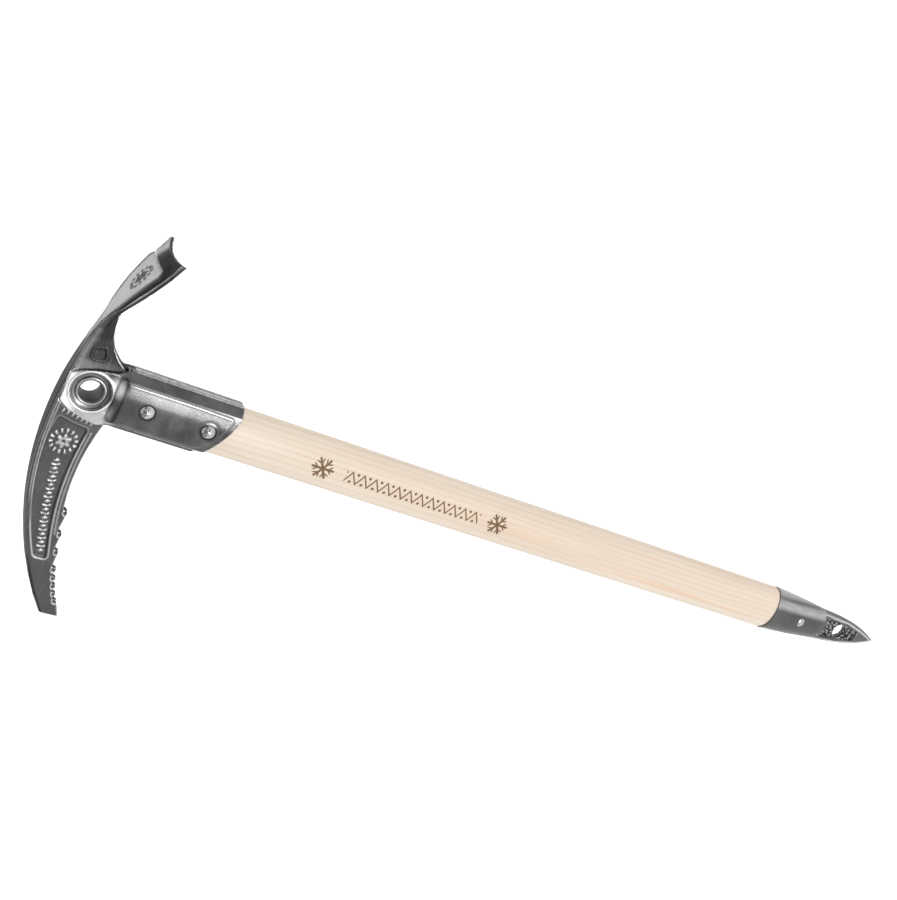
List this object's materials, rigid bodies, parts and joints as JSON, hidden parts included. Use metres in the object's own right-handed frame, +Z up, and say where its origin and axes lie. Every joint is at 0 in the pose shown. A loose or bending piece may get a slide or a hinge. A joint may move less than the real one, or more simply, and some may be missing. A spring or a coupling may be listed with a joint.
{
  "type": "ice axe",
  "caption": "Straight classic ice axe: toothed forged pick and arched adze, pressed steel cheeks riveted over an oval ash shaft, karabiner eye, steel ferrule and spike.",
  "frame": {"origin": "centre of the karabiner eye, midway between the two cheeks", "axes": "+Z up along the shaft towards the head, +X towards the adze (the pick is on -X), +Y along the eye's bore, out of the back"},
  "size_m": [0.2415, 0.0556, 0.6506],
  "materials": {
    "forged_steel": "dark blasted forging, satin",
    "pressed_steel": "satin pressed sheet, lightly dented",
    "eyelet_steel": "turned and rolled, dull",
    "rivet_steel": "polished domes",
    "ferrule_steel": "fine satin",
    "ash_wood": "clear oiled, straight grain"
  },
  "bodies": {
    "root": {"head_blade": "forged_steel", "cheek_front": "pressed_steel", "cheek_back": "pressed_steel", "eyelet": "eyelet_steel", "rivet_upper": "rivet_steel", "rivet_lower": "rivet_steel", "shaft": "ash_wood", "ferrule": "ferrule_steel", "rivet_toe": "rivet_steel", "spike": "forged_steel"}
  },
  "joints": []
}
